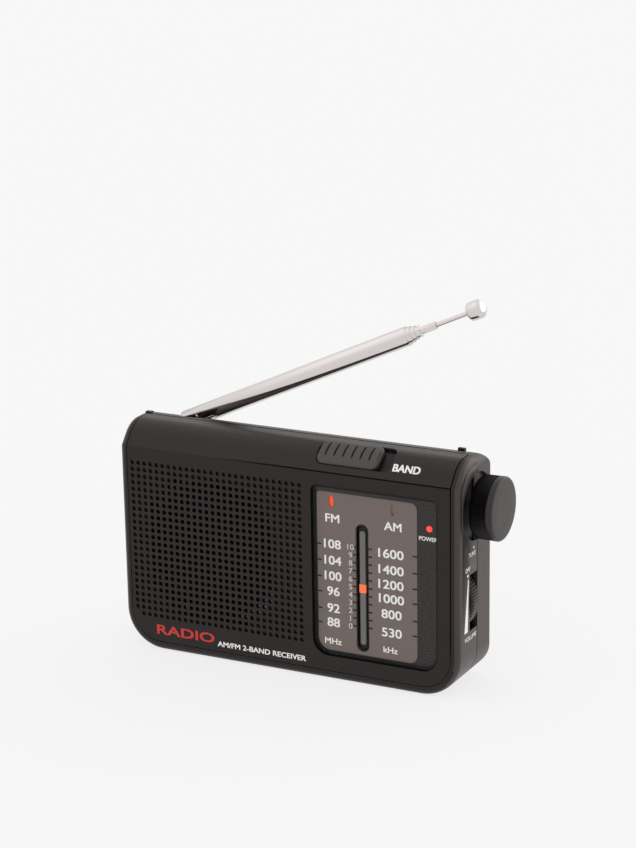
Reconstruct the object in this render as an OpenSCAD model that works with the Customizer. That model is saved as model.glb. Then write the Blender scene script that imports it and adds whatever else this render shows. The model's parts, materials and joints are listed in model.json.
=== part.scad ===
// Two-band pocket radio: moulded case, slide-rule dial with belt-driven pointer,
// side tuning knob, volume thumbwheel, band slider and a folding telescopic antenna.
// Axes: +X to the tuning knob, -Y is the front, +Z up; origin in the middle of the base.

/* [Body] */
// Width of the case
body_w = 117.4; // [117:0.2:118]
// Height of the case
body_h = 74.6; // [74.4:0.1:75]
// Depth of the case, front to back
body_d = 25.5; // [25.5:0.1:26]
// Wall thickness of the case
wall = 1.8; // [1.6:0.1:1.8]
// Y of the plane where front and rear shells meet
part_y = 1.4; // [1.2:0.1:1.4]
// Radius of the two bottom corners
foot_r = 13; // [12.5:0.5:13]
// Height where the flat face turns into the sloping brow
crease_z = 67.6; // [67.4:0.1:67.8]
// Slope of the brow above the crease, degrees
brow_a = 50; // [48:1:52]
// Radius that carries the brow into the flat top
brow_r = 9.4; // [9:0.1:9.6]

/* [Grille] */
// Distance between grille holes
grille_pitch = 2.2; // [2.2:0.01:2.21]
// Diameter of a grille hole
grille_d = 1.15; // [0.9:0.05:1.2]
// Number of grille columns
grille_cols = 28; // [26:1:28]
// Number of grille rows
grille_rows = 24; // [22:1:24]

/* [Dial] */
// Width of the dial window
window_w = 42.6; // [42.4:0.1:42.8]
// Height of the dial window
window_h = 55.3; // [55:0.1:55.4]
// Travel of the pointer each way from rest
pointer_travel = 13.2; // [12:0.1:13.2]
// Working radius of the pointer belt's drive pulley
pulley_r = 2.8; // [2.8:0.1:2.8]

/* [Controls] */
// Diameter of the tuning knob
knob_d = 19.9; // [19:0.1:20]
// Length of the tuning knob
knob_len = 7.4; // [7:0.1:7.5]
// Diameter of the volume thumbwheel
wheel_d = 22.4; // [22:0.2:22.4]
// Travel of the band slider
band_travel = 4; // [3:0.5:4]

/* [Antenna] */
// Tilt of the antenna above horizontal, as stored
antenna_tilt = 24.35; // [0:0.05:60]
// Outside diameter of the outer tube
antenna_d = 6.1; // [6:0.1:6.1]
// Distance from the tilt pin to the end of the outer tube
antenna_len = 81.5; // [80:0.5:82]

/* [Hidden] */
$fn = 64;

front_y = -body_d / 2;
rear_y = body_d / 2;
half_w = body_w / 2;
gap = 0.1;
edge_r = 2.3;
rear_top_r = 11;
rear_corner_r = 4.6;
panel_t = 1.6;
ledge_t = 3.0;
rear_wall = 1.6;
brow_cz = body_h - brow_r;
brow_cy = front_y + brow_r * sin(brow_a)
  + (body_h - brow_r * (1 - cos(brow_a)) - crease_z) / tan(brow_a);
panel_half = 56.05;
panel_z = 3.05;
panel_r = 10;

// Grille
grille_x = -54;
grille_z = 62.4;
grille_mid_col = 12.5;
grille_mid_row = 12;
speaker_x = grille_x + grille_mid_col * grille_pitch;
speaker_z = grille_z - grille_mid_row * grille_pitch;
speaker_r = 24.5;
wall_back = front_y + ledge_t;

// Dial
window_x0 = 9.2;
window_z0 = 8;
window_top_r = 2.2;
window_foot_r = 5.4;
dial_x = 25.9;
slot_w = 3.7;
slot_z0 = 10.9;
slot_z1 = 51.7;
scale_front = front_y + 1.5;
scale_back = front_y + 1.85;
pointer_z = 31.2;
track_w = 2.6;
flag_z = 58.1;
flag_fm_x = 15.5;
flag_am_x = 36.3;
led_x = 49;
led_z = 53.8;
led_r = 1.05;

// Band slider in the brow
band_x0 = 9.9;
band_x1 = 34.9;
band_y0 = -11.05;
band_y1 = -2.9;

// Tuning train: knob shaft along X on the parting plane
shaft_z = 58.65;
shaft_r = 1.5;
shaft_x0 = 21.5;
knob_x0 = half_w + 0.95;
knob_pocket_r = 10.6;
gear_m = 0.45;
pinion_teeth = 10;
gear_teeth = 30;
centre_d = gear_m * (pinion_teeth + gear_teeth) / 2;
cap_y = part_y - 3.4;
cap_z = shaft_z - sqrt(centre_d * centre_d - 3.4 * 3.4);
mesh_a = atan2(cap_z - shaft_z, cap_y - part_y);
gear_x = 33;
gear_w = 2;
belt_t = 0.5;
belt_w = 1.4;
idler_r = 1.6;
idler_y = part_y - pulley_r + idler_r;
idler_z = 21.2;

// Volume wheel along Y, at the right-hand side
wheel_r = wheel_d / 2;
wheel_x = half_w + 1.4 - wheel_r;
wheel_z = 29.2;
wheel_y0 = -3.8;
wheel_y1 = 0.6;
wheel_slot_z0 = 20.2;
wheel_slot_z1 = 38.2;

// Circuit board and cells
board_y0 = 5.4;
board_y1 = 6.6;
cell_r = 7.1;
cell_len = 50.5;
cell_y = 3.9;
cell_z = 11.3;
bay_r = 7.4;
bay_wall = 0.7;
posts = [[-53, 64.5], [-53, 23.2], [3, 64.5], [3.5, 23.2], [53, 46.5]];
board_posts = [[10.5, 63.5], [51, 64], [20, 23.3], [33, 23.3]];

// Parts on and above the board
chip_x = 19.8;
chip_z = 46.8;
can_x = 8.6;
can_w = 7;
can_y0 = -2.2;
sleeve_x = 19.4;
sleeve_r = 2.9;
aerial_y = -3;
aerial_z = 66;
aerial_r = 4;
jack_y = -3;
jack_z = 56.5;
jack_r = 1.8;
jack_depth_x = -46.6;
guide_y = -6.8;
guide_r = 0.75;

// Antenna: tilt pin along Y, swivel post along Z
ant_x = -41.6;
ant_y = 9.3;
ant_z = 73.55;
ant_r = antenna_d / 2;
heel = 5.6;
rebate_z = 70;
rebate_y = ant_y - ant_r - 0.45;
rebate_x0 = -49.7;
rebate_x1 = 54.6;
pocket_r = 6.9;
pocket_z = 66.5;
pocket_floor = 2.2;
washer_r = 2.6;
washer_t = 0.9;
step = 1.5;

// ---------- flat helpers ----------
module corner_cut(r) {
  difference() {
    translate([-2, -2]) square(r + 2);
    translate([r, r]) circle(r);
  }
}

module rounded(x0, z0, x1, z1, r_low, r_top) {
  difference() {
    translate([x0, z0]) square([x1 - x0, z1 - z0]);
    if (r_low > 0) {
      translate([x0, z0]) corner_cut(r_low);
      translate([x1, z0]) mirror([1, 0]) corner_cut(r_low);
    }
    if (r_top > 0) {
      translate([x0, z1]) mirror([0, 1]) corner_cut(r_top);
      translate([x1, z1]) mirror([1, 0]) mirror([0, 1]) corner_cut(r_top);
    }
  }
}

module along_y(y0, y1) {
  translate([0, y1, 0]) rotate([90, 0, 0]) linear_extrude(y1 - y0) children();
}

module along_x(x0, x1) {
  translate([x0, 0, 0]) rotate([90, 0, 90]) linear_extrude(x1 - x0) children();
}

module box(lo, hi) {
  translate(lo) cube(hi - lo);
}

module rod_y(x, z, y0, y1, r) {
  translate([x, y1, z]) rotate([90, 0, 0]) cylinder(r = r, h = y1 - y0);
}

module rod_x(y, z, x0, x1, r) {
  translate([x0, y, z]) rotate([0, 90, 0]) cylinder(r = r, h = x1 - x0);
}

// ---------- case outlines ----------
module front_profile(t, z0, y1) {
  y0 = front_y + t;
  r = brow_r - t;
  top = body_h - t;
  mid = [brow_cy, brow_cz];
  crease = [y0, crease_z - t * tan((90 - brow_a) / 2)];
  apex = [y0 + (top - crease[1]) / tan(brow_a), top];
  difference() {
    polygon([[y1, z0], [y0, z0], crease, apex, [y1, top]]);
    translate([y0, z0]) corner_cut(edge_r);
    difference() {
      polygon([mid, mid + (r + 2) * [-sin(brow_a), cos(brow_a)], apex + [-2, 3], mid + [0, r + 2]]);
      translate(mid) circle(r);
    }
  }
}

module rear_profile(t) {
  difference() {
    translate([part_y - 2, t]) square([rear_y - t - part_y + 2, body_h - 2 * t]);
    translate([rear_y - t, t]) mirror([1, 0]) corner_cut(edge_r);
    translate([rear_y - t, body_h - t]) mirror([1, 0]) mirror([0, 1]) corner_cut(rear_top_r - t);
  }
}

module case_outline(t, top_r) {
  rounded(-half_w + t, t, half_w - t, body_h - min(t, 1), foot_r - t, top_r);
}

module front_plan(t) {
  rounded(-half_w + t, front_y + t, half_w - t, part_y + 2, max(edge_r - t, 0.4), 0);
}

module rear_plan(t) {
  rounded(-half_w + t, part_y - 2, half_w - t, rear_y - t, 0, max(edge_r - t, 0.4));
}

module front_block() {
  intersection() {
    along_y(front_y - 1, part_y) case_outline(0, edge_r);
    along_x(-half_w - 1, half_w + 1) front_profile(0, 0, part_y);
    translate([0, 0, -1]) linear_extrude(body_h + 2) front_plan(0);
  }
}

module rear_block(t, top_r, y0) {
  intersection() {
    along_y(y0, rear_y + 1) case_outline(t, top_r);
    along_x(-half_w - 1, half_w + 1) rear_profile(t);
    translate([0, 0, -1]) linear_extrude(body_h + 2) rear_plan(t);
  }
}

module panel_outline(t) {
  rounded(-panel_half + t, panel_z + t, panel_half - t, body_h + 5, panel_r - t, 0);
}

module window_outline(t) {
  rounded(window_x0 + t, window_z0 + t, window_x0 + window_w - t, window_z0 + window_h - t,
    window_foot_r - t, window_top_r - t);
}

module band_slot(t, x1) {
  rounded(band_x0 + t, band_y0 + t, x1 - t, band_y1 - t, 2.4 - t, 2.8 - t);
}

module knob_pocket() {
  rod_x(part_y, shaft_z, half_w - 1.3, half_w + 5, knob_pocket_r);
  rod_x(part_y, shaft_z, half_w - 5, half_w + 5, 2.1);
}

// ---------- front shell and panel ----------
module front_shell() {
  color([0.15, 0.14, 0.14]) {
    difference() {
      front_block();
      intersection() {
        along_x(-half_w + wall, half_w - wall) front_profile(ledge_t, wall, part_y + 1);
        along_y(front_y, part_y + 2) rounded(-half_w + wall, wall, half_w - wall,
          body_h + 1, foot_r - wall, 0);
      }
      difference() {
        along_y(front_y - 2, part_y + 1) panel_outline(-gap);
        along_x(-half_w - 2, half_w + 2) front_profile(panel_t + 0.25, -5, part_y + 3);
      }
      rod_y(speaker_x, speaker_z, front_y, wall_back + 2, speaker_r - 2);
      along_y(front_y, wall_back + 1) {
        rounded(dial_x - 1.95, slot_z0 - 0.5, dial_x + 1.95, slot_z1 + 0.5, 1, 1);
        translate([flag_fm_x - 1.6, flag_z - 2.3]) square([band_travel + 3.3, 4.6]);
        translate([flag_am_x - band_travel - 1.6, flag_z - 2.3]) square([band_travel + 3.3, 4.6]);
      }
      rod_y(led_x, led_z, front_y, wall_back + 1, led_r + 0.3);
      box([17.5, -8.6, 66], [27.5, -5.9, body_h - panel_t]);
      knob_pocket();
      box([half_w - 4, wheel_y0 - 0.6, wheel_slot_z0], [half_w + 1, part_y + 1, wheel_slot_z1]);
      rod_x(jack_y, jack_z, -half_w - 1, -half_w + 4, jack_r + 0.8);
    }
    for (p = posts) {
      difference() {
        rod_y(p[0], p[1], wall_back - 0.5, part_y, 2.8);
        rod_y(p[0], p[1], -4.2, part_y + 1, 1);
      }
    }
  }
}

function through_hole(c, r) = abs(c - grille_mid_col) <= 9.5 && abs(r - grille_mid_row) <= 10
  && abs(c - grille_mid_col) + abs(r - grille_mid_row) <= 15.5;

module open_holes() {
  for (c = [0:grille_cols - 1], r = [0:grille_rows - 1]) {
    if (through_hole(c, r)) {
      translate([grille_x + c * grille_pitch, grille_z - r * grille_pitch]) circle(d = grille_d, $fn = 16);
    }
  }
}

module front_panel() {
  color([0.2, 0.19, 0.19]) difference() {
    intersection() {
      difference() {
        along_x(-half_w, half_w) front_profile(0.1, 1, part_y);
        along_x(-half_w - 1, half_w + 1) front_profile(panel_t + 0.2, -5, part_y + 1);
      }
      along_y(front_y - 1, part_y) panel_outline(0);
    }
    along_y(front_y - 1, wall_back) {
      window_outline(0);
      open_holes();
    }
    translate([0, 0, crease_z - 0.6]) linear_extrude(20) band_slot(0, band_x1);
    along_x(-8, panel_half + 1) translate([front_y + 0.1, crease_z]) circle(r = 0.35, $fn = 24);
  }
}

module grille_screen() {
  color([0.08, 0.08, 0.09]) rod_y(speaker_x, speaker_z, scale_back - 0.02, scale_back + 0.25, speaker_r - 2.2);
}

// ---------- dial ----------
module dial_lens() {
  color([0.75, 0.74, 0.7, 0.35]) difference() {
    along_y(front_y + 0.15, front_y + 1.35) window_outline(gap);
    rod_y(led_x, led_z, front_y, front_y + 2, led_r + 0.1);
  }
}

module scale_plate() {
  color([0.46, 0.42, 0.39]) difference() {
    along_y(scale_front, scale_back) window_outline(0.15);
    along_y(scale_front - 1, scale_back + 1) {
      rounded(dial_x - slot_w / 2, slot_z0, dial_x + slot_w / 2, slot_z1, 1.5, 1.5);
      rounded(flag_fm_x - 0.75, flag_z - 1.6, flag_fm_x + 0.75, flag_z + 1.6, 0.5, 0.5);
      rounded(flag_am_x - 0.75, flag_z - 1.6, flag_am_x + 0.75, flag_z + 1.6, 0.5, 0.5);
      translate([led_x, led_z]) circle(led_r + 0.15);
    }
  }
}

module pointer_track() {
  color([0.6, 0.58, 0.55]) box([dial_x - track_w / 2, scale_back + 0.05, slot_z0],
    [dial_x + track_w / 2, wall_back, slot_z1]);
}

module pointer() {
  color([1, 0.42, 0.18]) {
    box([dial_x - 1.7, scale_front + 0.05, pointer_z - 1.5], [dial_x + 1.7, scale_back, pointer_z + 1.5]);
    for (s = [-1, 1]) {
      translate([dial_x + s * 1.525 - 0.175, scale_back - 0.05, pointer_z - 1.2])
        cube([0.35, wall_back - scale_back + 0.35, 2.4]);
    }
  }
}

module pointer_carriage() {
  clip_z = pointer_z + 7;
  front_strand = part_y - pulley_r;
  color([0.85, 0.83, 0.78]) difference() {
    union() {
      box([dial_x - 1.7, wall_back + 0.3, pointer_z - 2], [dial_x + 1.7, -4.5, pointer_z + 2]);
      box([dial_x - 1.7, -5.6, pointer_z + 1.5], [dial_x + 1.7, -4.5, clip_z + 1]);
      box([dial_x - 1.7, -5.6, clip_z - 1], [dial_x + 1.7, front_strand - 0.4, clip_z + 1]);
      for (s = [-1, 1]) {
        translate([dial_x + s * 1.25 - 0.45, front_strand - 0.5, clip_z - 1]) cube([0.9, 1, 2]);
      }
    }
    translate([dial_x, guide_y, pointer_z - 3]) cylinder(r = guide_r + 0.05, h = 6);
  }
}

module pointer_rod() {
  color([0.75, 0.75, 0.77]) translate([dial_x, guide_y, 13.2]) cylinder(r = guide_r, h = 42);
}

function arc_points(mid, r, a0, a1) =
  [for (i = [0:16]) mid + r * [cos(a0 + (a1 - a0) * i / 16), sin(a0 + (a1 - a0) * i / 16)]];

function belt_loop(t) =
  let (d = [idler_y - part_y, idler_z - shaft_z],
    a = atan2(d[1], d[0]),
    s = acos((pulley_r - idler_r) / norm(d)))
  concat(arc_points([part_y, shaft_z], pulley_r + t, a + s, a - s + 360),
    arc_points([idler_y, idler_z], idler_r + t, a - s, a + s));

module pointer_belt() {
  color([0.1, 0.1, 0.1]) along_x(dial_x - belt_w / 2, dial_x + belt_w / 2) difference() {
    polygon(belt_loop(belt_t / 2));
    polygon(belt_loop(-belt_t / 2));
  }
}

module spool(y, z, r, flange) {
  rod_x(y, z, dial_x - 1.4, dial_x + 1.4, r);
  for (s = [-1, 1]) {
    rod_x(y, z, dial_x + s * 1.1 - 0.3, dial_x + s * 1.1 + 0.3, flange);
  }
}

module belt_pulley() {
  color([0.9, 0.88, 0.82]) difference() {
    spool(part_y, shaft_z, pulley_r - belt_t / 2 - 0.05, pulley_r + 0.5);
    rod_x(part_y, shaft_z, dial_x - 5, dial_x + 5, shaft_r);
  }
}

module idler_pulley() {
  color([0.9, 0.88, 0.82]) difference() {
    spool(idler_y, idler_z, idler_r - belt_t / 2 - 0.05, idler_r + 0.5);
    rod_x(idler_y, idler_z, dial_x - 5, dial_x + 5, 0.75);
  }
}

module idler_pin() {
  color([0.75, 0.75, 0.77]) rod_x(idler_y, idler_z, dial_x - 2.2, 30.7, 0.7);
}

module dial_frame() {
  color([0.7, 0.7, 0.72]) difference() {
    union() {
      along_x(29.5, 30.7) polygon([[wall_back + 0.02, 6.5], [-5, 6.5], [-5, 18], [4.4, 20],
        [4.4, 64], [wall_back + 0.02, 64]]);
      box([23, -8.6, 12], [30.6, -5, 13.2]);
      box([23, -8.6, 55.2], [30.6, -5, 56.4]);
    }
    rod_x(part_y, shaft_z, 28, 32, shaft_r + 0.05);
    rod_x(idler_y, idler_z, 28, 32, 0.7);
    box([29, front_y, flag_z - 3], [31, wall_back + 0.7, flag_z + 3]);
    box([29, -4.6, 26], [31, -0.6, 40]);
  }
}

module power_led() {
  color([0.9, 0.15, 0.12]) {
    rod_y(led_x, led_z, front_y + 0.9, -8.6, led_r);
    translate([led_x, front_y + 0.9, led_z]) intersection() {
      translate([0, 0.25, 0]) sphere(r = 1.08);
      rod_y(0, 0, -1, 0.02, led_r);
    }
    rod_y(led_x, led_z, wall_back + 0.02, -8.6, 1.5);
    for (s = [-1, 1]) {
      rod_y(led_x + s * 0.65, led_z, -8.7, board_y0, 0.25);
    }
  }
}

// ---------- band switch ----------
module band_slider() {
  color([0.2, 0.19, 0.19]) {
    difference() {
      intersection() {
        difference() {
          along_x(0, 40) front_profile(-0.3, 60, part_y);
          along_x(-1, 41) front_profile(panel_t - 0.2, 50, part_y + 1);
        }
        translate([0, 0, crease_z]) linear_extrude(10) band_slot(0.15, band_x1 - band_travel);
      }
      for (i = [0:5]) {
        intersection() {
          along_x(12.65 + i * 2.95, 12.95 + i * 2.95) difference() {
            front_profile(-1, 60, part_y);
            front_profile(0.05, 50, part_y + 1);
          }
          box([0, -9.3, crease_z], [40, -4.8, body_h + 2]);
        }
      }
    }
    box([20, -8.1, 68.2], [22, -6.4, body_h - panel_t - 0.4]);
  }
}

module band_flag() {
  color([0.1, 0.1, 0.1]) {
    box([12, wall_back + 0.05, flag_z - 2], [40, wall_back + 0.45, flag_z + 2]);
    box([19.7, wall_back + 0.05, flag_z], [22.3, -6.4, flag_z + 1.2]);
    box([19.7, -8.1, flag_z], [22.3, -6.4, 68.15]);
    box([20.3, -6.5, 64.2], [21.7, 2.2, 65.6]);
  }
}

module band_flag_marks() {
  color([1, 0.24, 0.05]) {
    for (x = [flag_fm_x, flag_am_x - band_travel]) {
      box([x - 1.3, scale_back + 0.1, flag_z - 1.9], [x + 1.3, wall_back + 0.05, flag_z + 1.9]);
    }
  }
}

module band_switch() {
  color([0.78, 0.78, 0.8]) difference() {
    box([14, 0.8, 62.6], [29, board_y0, 67.2]);
    box([19.6, 0, 63.9], [26.6, 3, 65.9]);
  }
}

// ---------- tuning train ----------
module tune_knob() {
  color([0.3, 0.28, 0.27]) difference() {
    union() {
      rod_x(part_y, shaft_z, knob_x0, knob_x0 + knob_len - 0.8, knob_d / 2 - 0.25);
      for (a = [0:6:354]) {
        translate([knob_x0 + 0.3, part_y, shaft_z]) rotate([a, 0, 0])
          translate([0, knob_d / 2 - 0.5, -0.25]) cube([knob_len - 2.4, 0.5, 0.5]);
      }
      translate([knob_x0 + knob_len - 1.8, part_y, shaft_z]) rotate([0, 90, 0]) cylinder(r = knob_d / 2, h = 1);
      translate([knob_x0 + knob_len - 0.8, part_y, shaft_z]) rotate([0, 90, 0])
        cylinder(r1 = knob_d / 2, r2 = knob_d / 2 - 0.8, h = 0.8);
      rod_x(part_y, shaft_z, knob_x0 - 1.5, knob_x0 + 0.5, 3.2);
    }
    rod_x(part_y, shaft_z, knob_x0 - 3, knob_x0 + 4, shaft_r);
  }
}

module tune_shaft() {
  color([0.75, 0.75, 0.77]) rod_x(part_y, shaft_z, shaft_x0, knob_x0 + 4, shaft_r);
}

module gear_flat(teeth, phase) {
  r = gear_m * teeth / 2;
  tip = r + 0.85 * gear_m;
  root = r - 1.1 * gear_m;
  w = 360 / teeth;
  circle(root);
  for (i = [0:teeth - 1]) {
    rotate(phase + i * w) polygon([
      [(root - 0.3) * cos(0.36 * w), -(root - 0.3) * sin(0.36 * w)],
      [r * cos(0.22 * w), -r * sin(0.22 * w)],
      [tip * cos(0.09 * w), -tip * sin(0.09 * w)],
      [tip * cos(0.09 * w), tip * sin(0.09 * w)],
      [r * cos(0.22 * w), r * sin(0.22 * w)],
      [(root - 0.3) * cos(0.36 * w), (root - 0.3) * sin(0.36 * w)]]);
  }
}

module tune_pinion() {
  color([0.82, 0.68, 0.36]) difference() {
    along_x(gear_x - 0.5, gear_x + gear_w + 0.5) translate([part_y, shaft_z])
      gear_flat(pinion_teeth, mesh_a);
    rod_x(part_y, shaft_z, gear_x - 2, gear_x + 6, shaft_r);
  }
}

module shaft_bearing() {
  color([0.85, 0.83, 0.78]) difference() {
    box([50, -1.4, 55.4], [52.5, board_y0, 61.6]);
    rod_x(part_y, shaft_z, 49, 54, shaft_r + 0.05);
  }
}

module capacitor_gear() {
  color([0.9, 0.88, 0.82]) difference() {
    union() {
      along_x(gear_x, gear_x + gear_w) translate([cap_y, cap_z])
        gear_flat(gear_teeth, mesh_a + 180 + 180 / gear_teeth);
      rod_x(cap_y, cap_z, gear_x, gear_x + gear_w + 1, 3);
    }
    rod_x(cap_y, cap_z, gear_x - 1, gear_x + 6, 1.25);
  }
}

module capacitor_spindle() {
  color([0.82, 0.68, 0.36]) rod_x(cap_y, cap_z, gear_x - 0.6, 42, 1.25);
}

module tuning_capacitor() {
  color([0.88, 0.88, 0.84]) difference() {
    union() {
      box([37, cap_y - 5.5, cap_z - 5.5], [47, board_y0, cap_z + 5.5]);
      rod_x(cap_y, cap_z, 36.2, 37.5, 2.4);
    }
    rod_x(cap_y, cap_z, 30, 42.5, 1.3);
  }
}

// ---------- volume ----------
module volume_wheel() {
  color([0.35, 0.33, 0.32]) difference() {
    union() {
      rod_y(wheel_x, wheel_z, wheel_y0, wheel_y1, wheel_r - 0.35);
      for (a = [0:6:354]) {
        translate([wheel_x, wheel_y0 + 0.3, wheel_z]) rotate([0, a, 0])
          translate([wheel_r - 0.7, 0, -0.3]) cube([0.7, wheel_y1 - wheel_y0 - 0.6, 0.6]);
      }
    }
    rod_y(wheel_x, wheel_z, wheel_y0 - 1, wheel_y0 + 0.9, wheel_r - 3);
    rod_y(wheel_x, wheel_z, wheel_y0 - 1, wheel_y1 + 1, 1.5);
  }
}

module volume_spindle() {
  color([0.75, 0.75, 0.77]) {
    rod_y(wheel_x, wheel_z, wheel_y0 + 0.3, 3, 1.5);
    rod_y(wheel_x, wheel_z, wheel_y0 + 0.1, wheel_y0 + 0.9, 2.4);
  }
}

module volume_pot() {
  color([0.45, 0.4, 0.3]) difference() {
    union() {
      rod_y(wheel_x, wheel_z, wheel_y1 + 0.3, board_y0, 7);
      for (i = [-2:2]) {
        box([wheel_x + i * 2.4 - 0.5, board_y0 - 1.2, 20.9], [wheel_x + i * 2.4 + 0.5, board_y0, 24]);
      }
    }
    rod_y(wheel_x, wheel_z, wheel_y1, 3.5, 1.55);
  }
}

// ---------- speaker ----------
module speaker_basket() {
  y0 = wall_back + 0.05;
  color([0.72, 0.72, 0.74]) translate([speaker_x, y0, speaker_z]) rotate([-90, 0, 0]) difference() {
    rotate_extrude() polygon([[21.2, 0], [24.5, 0], [24.5, 0.8], [21.6, 0.8], [13.5, 5.4], [8, 5.4], [8, 4.7],
      [13, 4.7], [20.8, 0.3]]);
    for (i = [0:3]) {
      rotate(45 + i * 90) translate([17, 0, 0]) cylinder(r = 2.6, h = 8);
    }
  }
}

module speaker_cone() {
  y0 = wall_back + 0.05;
  color([0.12, 0.12, 0.12]) translate([speaker_x, y0, speaker_z]) rotate([-90, 0, 0]) {
    rotate_extrude() polygon([[0, 1.4], [4.5, 2.2], [6.2, 3.2], [20.6, -0.2], [22.3, -0.2], [22.3, -0.05],
      [20.7, -0.05], [6.6, 3.6], [6.6, 4.6], [6.1, 4.6], [6.1, 3.6], [4.4, 2.5], [0, 1.7]]);
  }
}

module speaker_magnet() {
  y0 = wall_back + 5.5;
  color([0.3, 0.3, 0.31]) {
    rod_y(speaker_x, speaker_z, y0, y0 + 6, 12.5);
    rod_y(speaker_x, speaker_z, y0 + 6, y0 + 7.2, 10.5);
    rod_y(speaker_x, speaker_z, y0 - 2, y0, 5);
  }
}

module speaker_clips() {
  color([0.7, 0.7, 0.72]) for (a = [60, 180, 300]) {
    translate([speaker_x, 0, speaker_z]) rotate([0, a, 0]) {
      box([23, wall_back + 0.9, -2], [26.5, wall_back + 1.5, 2]);
      box([24.8, wall_back, -2], [26.5, wall_back + 1.2, 2]);
    }
  }
}

// ---------- board ----------
module circuit_board() {
  color([0.55, 0.4, 0.2]) difference() {
    box([7.3, board_y0, 20.8], [55.5, board_y1, 67.4]);
    rod_y(posts[4][0], posts[4][1], 0, 10, 3.3);
    box([26.2, board_y0 - 1, 20.5], [41, board_y1 + 1, 21.2]);
    for (p = board_posts) {
      rod_y(p[0], p[1], 0, 10, 1);
    }
  }
}

module if_cans() {
  color([0.8, 0.8, 0.82]) for (z = [30, 39.5, 49]) {
    box([can_x, can_y0, z], [can_x + can_w, board_y0, z + can_w]);
  }
}

module electrolytics() {
  color([0.12, 0.2, 0.45]) {
    for (z = [28.2, 35.2, 42.2]) {
      rod_y(sleeve_x, z, -1.6, board_y0, sleeve_r);
    }
  }
}

module amplifier_chip() {
  color([0.06, 0.06, 0.06]) {
    box([chip_x - 2.5, 2.2, chip_z], [chip_x + 2.5, board_y0 - 0.5, chip_z + 10]);
    for (i = [0:5]) {
      box([chip_x - 3.2, 4.2, chip_z + 0.8 + i * 1.6], [chip_x + 3.2, board_y0, chip_z + 1.3 + i * 1.6]);
    }
  }
}

module ferrite_rod() {
  color([0.2, 0.2, 0.21]) rod_x(aerial_y, aerial_z, -48.5, -1.5, aerial_r);
}

module ferrite_coil() {
  color([0.75, 0.4, 0.2]) difference() {
    rod_x(aerial_y, aerial_z, -24, -10, aerial_r + 0.7);
    rod_x(aerial_y, aerial_z, -25, -9, aerial_r);
  }
}

module rod_holders() {
  color([0.85, 0.83, 0.78]) for (x = [-32, -6.5]) {
    difference() {
      union() {
        rod_x(aerial_y, aerial_z, x, x + 3, aerial_r + 1.2);
        box([x, wall_back, aerial_z - 3.5], [x + 3, aerial_y, aerial_z - 0.5]);
      }
      rod_x(aerial_y, aerial_z, x - 1, x + 4, aerial_r);
    }
  }
}

module earphone_jack() {
  color([0.08, 0.08, 0.08]) difference() {
    union() {
      box([-half_w + wall, jack_y - 3.5, jack_z - 3.3], [jack_depth_x + 1, jack_y + 3.5, jack_z + 3.3]);
      rod_x(jack_y, jack_z, -half_w - 0.3, -half_w + wall + 1, jack_r + 0.7);
    }
    rod_x(jack_y, jack_z, -half_w - 1, jack_depth_x, jack_r);
  }
}

// ---------- rear cover ----------
module bay_tube(r, x) {
  rod_x(cell_y, cell_z, -x, x, r);
}

module rear_cover() {
  color([0.38, 0.36, 0.34]) difference() {
    union() {
      difference() {
        rear_block(0, rear_corner_r, part_y + gap / 2);
        difference() {
          rear_block(rear_wall, 2, part_y - 1);
          box([-50.9, part_y - 1, pocket_z - pocket_floor], [-33.4, rear_y + 1, body_h + 1]);
          box([-50.9, rebate_y - 1.4, rebate_z - 1.4], [rebate_x1 + 1.4, rear_y + 1, body_h + 1]);
        }
      }
      intersection() {
        difference() {
          bay_tube(bay_r + bay_wall, 55.6);
          bay_tube(bay_r, 54.6);
          box([-60, cell_y, 0], [60, rear_y + 2, 30]);
        }
        along_y(-10, rear_y) case_outline(wall + 0.3, 2);
      }
      intersection() {
        difference() {
          box([-55.6, cell_y, 0.5], [55.6, rear_y - 0.5, cell_z + bay_r + bay_wall]);
          box([-54.6, cell_y - 1, cell_z - bay_r], [54.6, rear_y, cell_z + bay_r]);
        }
        along_y(-10, rear_y) case_outline(rear_wall - 0.2, 2);
      }
      for (p = posts) {
        rod_y(p[0], p[1], part_y + gap, rear_y - 1, 2.8);
      }
      for (p = board_posts) {
        rod_y(p[0], p[1], board_y1, rear_y - 1, 2);
      }
    }
    box([rebate_x0, rebate_y, rebate_z], [rebate_x1, rear_y + 1, body_h + 1]);
    rest_block();
    lug_block();
    translate([ant_x, ant_y, pocket_z]) cylinder(r = pocket_r, h = 20);
    box([ant_x - pocket_r, ant_y, pocket_z], [ant_x + pocket_r, rear_y + 1, body_h]);
    translate([ant_x, ant_y, pocket_z - 5]) cylinder(r = 2.05, h = 10);
    translate([ant_x, ant_y, pocket_z - pocket_floor - washer_t - 3 * gap])
      cylinder(r = washer_r + 0.15, h = washer_t + 3 * gap);
    for (p = posts) {
      rod_y(p[0], p[1], 0, rear_y + 1, 1.15);
      rod_y(p[0], p[1], rear_y - 2.2, rear_y + 1, 2.3);
    }
    for (p = board_posts) {
      rod_y(p[0], p[1], 0, rear_y - 1.8, 0.8);
    }
    along_y(rear_y - rear_wall - 1, rear_y + 1) rounded(-52.2, 3.4, 52.2, cell_z + bay_r - 0.4, 0.1, 0.3);
    rod_x(12, 4.25, -53.6, 53.6, 0.55);
    rod_y(wheel_x, wheel_z, wheel_y0 - 0.5, wheel_y1 + 0.4, wheel_r + 0.5);
    knob_pocket();
    for (i = [0:11]) {
      box([speaker_x - 11 + i * 2, rear_y - 3, 30], [speaker_x - 10.2 + i * 2, rear_y + 1, 46]);
    }
  }
}

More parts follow.
